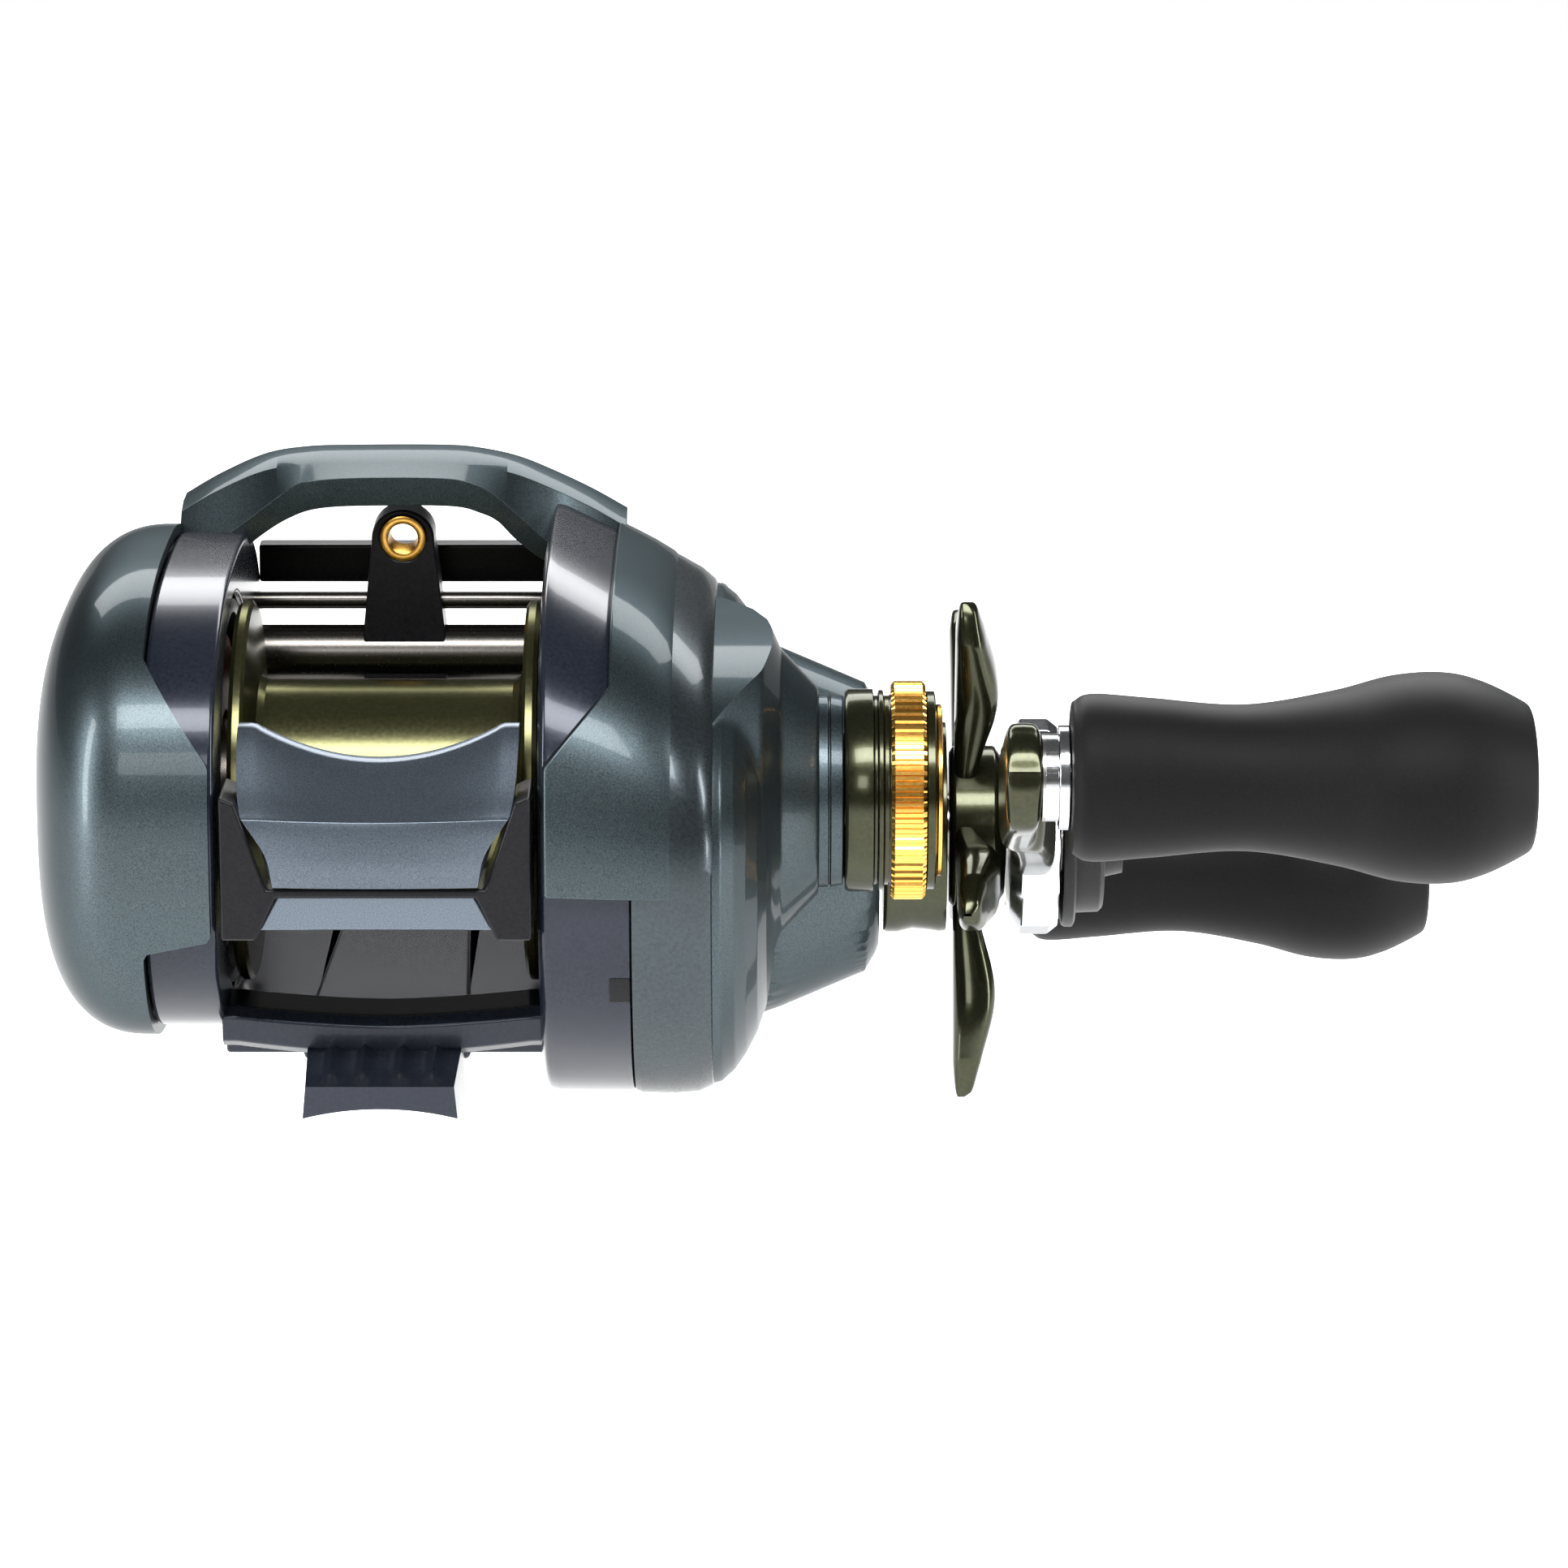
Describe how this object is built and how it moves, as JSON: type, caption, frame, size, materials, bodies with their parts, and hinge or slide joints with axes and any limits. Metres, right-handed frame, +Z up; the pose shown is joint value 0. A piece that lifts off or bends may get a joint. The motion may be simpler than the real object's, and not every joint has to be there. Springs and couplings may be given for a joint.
{
  "type": "baitcasting reel",
  "caption": "Low-profile baitcasting reel with a level wind, thumb bar clutch, star drag, cast control cap and double-knob cranked handle.",
  "frame": {"origin": "centre of the foot's underside, below the middle of the spool", "axes": "+X along the spool axis towards the handle, +Y towards the rod tip, +Z up away from the rod"},
  "size_m": [0.1304, 0.1122, 0.0597],
  "materials": {
    "body_paint": "metallic gloss paint",
    "frame_navy": "gloss",
    "pad_blue": "satin metallic",
    "olive": "anodised",
    "star_olive": "gloss anodised",
    "gold": "polished",
    "brass": "machined",
    "steel": "machined",
    "black_plastic": "gloss",
    "matte_black": "matte",
    "grip": "matte",
    "carbon": "woven",
    "board": "satin",
    "copper": "wound wire",
    "magnet": "plated"
  },
  "bodies": {
    "frame_body": {"frame": "frame_navy", "top_cover": "body_paint", "front_crossbar": "black_plastic", "level_wind_bar": "steel", "worm_tube": "steel", "worm_bushing_palm": "brass", "worm_bushing_gear": "brass", "spool_bearing_handle": "steel", "main_shaft_bearing": "steel", "gear_case": "body_paint", "handle_side_plate": "body_paint", "pinion_bearing": "steel", "one_way_bearing": "steel", "side_screw_1": "steel", "side_screw_2": "steel", "side_screw_3": "steel"},
    "palm_body": {"palm_side_plate": "body_paint", "brake_housing": "black_plastic", "brake_coil": "copper", "circuit_board": "board", "spool_bearing_palm": "steel"},
    "dial_body": {"brake_dial": "black_plastic"},
    "spool_body": {"spool": "olive", "spool_shaft": "steel", "spool_drive_pin": "steel", "rotor_magnet": "magnet"},
    "handle_body": {"main_shaft": "steel", "drive_gear": "brass", "drag_washer_inner": "carbon", "drag_washer_metal": "steel", "drag_washer_outer": "carbon", "drag_pressure_plate": "steel", "shaft_sleeve": "star_olive", "level_wind_drive_gear": "black_plastic", "handle_arm": "star_olive", "handle_nut": "steel", "nut_retainer": "matte_black", "retainer_screw": "matte_black", "knob_shaft_rear": "steel", "knob_shaft_front": "steel"},
    "knob_rear_body": {"knob_rear": "grip", "knob_cap_rear": "matte_black"},
    "knob_front_body": {"knob_front": "grip", "knob_cap_front": "matte_black"},
    "star_body": {"star_drag": "star_olive"},
    "cast_body": {"cast_control_cap": "olive", "cast_control_ring": "gold", "cast_control_disc": "gold"},
    "yoke_body": {"clutch_yoke": "black_plastic"},
    "pinion_body": {"pinion_gear": "brass"},
    "thumb_body": {"thumb_bar_base": "black_plastic", "thumb_pad": "pad_blue"},
    "guide_body": {"line_guide": "black_plastic", "line_eye": "gold", "pawl": "steel"},
    "idle_body": {"idle_gear": "black_plastic"},
    "worm_body": {"worm_shaft": "steel", "worm_gear": "black_plastic"}
  },
  "joints": [
    {"name": "handle_spin", "type": "hinge", "parent": "frame_body", "child": "handle_body", "pos_m": [0, 0.01841, 0.01456], "axis": [1, 0, 0], "continuous": true},
    {"name": "spool_spin", "type": "hinge", "parent": "frame_body", "child": "spool_body", "pos_m": [0, 0, 0.023], "axis": [1, 0, 0], "continuous": true},
    {"name": "thumb_bar_press", "type": "slide", "parent": "frame_body", "child": "thumb_body", "axis": [0, 0, -1], "range_m": [0, 0.0045]},
    {"name": "yoke_slide", "type": "slide", "parent": "frame_body", "child": "yoke_body", "axis": [1, 0, 0], "range_m": [0, 0.0018]},
    {"name": "pinion_spin", "type": "hinge", "parent": "yoke_body", "child": "pinion_body", "pos_m": [0, 0, 0.023], "axis": [1, 0, 0], "continuous": true},
    {"name": "idle_spin", "type": "hinge", "parent": "frame_body", "child": "idle_body", "pos_m": [0, 0.02875, 0.02157], "axis": [1, 0, 0], "continuous": true},
    {"name": "worm_spin", "type": "hinge", "parent": "frame_body", "child": "worm_body", "pos_m": [0, 0.024, 0.0298], "axis": [1, 0, 0], "continuous": true},
    {"name": "line_guide_slide", "type": "slide", "parent": "frame_body", "child": "guide_body", "axis": [1, 0, 0], "range_m": [-0.0095, 0.0095]},
    {"name": "star_drag_turn", "type": "hinge", "parent": "handle_body", "child": "star_body", "pos_m": [0, 0.01841, 0.01456], "axis": [1, 0, 0], "range_deg": [-180, 180]},
    {"name": "cast_control_turn", "type": "hinge", "parent": "frame_body", "child": "cast_body", "pos_m": [0, 0, 0.023], "axis": [1, 0, 0], "range_deg": [-180, 180]},
    {"name": "knob_rear_spin", "type": "hinge", "parent": "handle_body", "child": "knob_rear_body", "pos_m": [0, -0.0266, 0.03125], "axis": [1, 0, 0], "continuous": true},
    {"name": "knob_front_spin", "type": "hinge", "parent": "handle_body", "child": "knob_front_body", "pos_m": [0, 0.06341, -0.00213], "axis": [1, 0, 0], "continuous": true},
    {"name": "palm_plate_remove", "type": "slide", "parent": "frame_body", "child": "palm_body", "axis": [-1, 0, 0], "range_m": [0, 0.025]},
    {"name": "brake_dial_turn", "type": "hinge", "parent": "palm_body", "child": "dial_body", "pos_m": [0, 0.006, 0.023], "axis": [1, 0, 0], "range_deg": [0, 270]}
  ],
  "couplings": [
    {"joint": "spool_spin", "follows": "handle_spin", "ratio": -6.2},
    {"joint": "pinion_spin", "follows": "handle_spin", "ratio": -6.2},
    {"joint": "idle_spin", "follows": "handle_spin", "ratio": -1.5},
    {"joint": "worm_spin", "follows": "handle_spin", "ratio": 1.6667},
    {"joint": "yoke_slide", "follows": "thumb_bar_press", "ratio": 0.4}
  ]
}
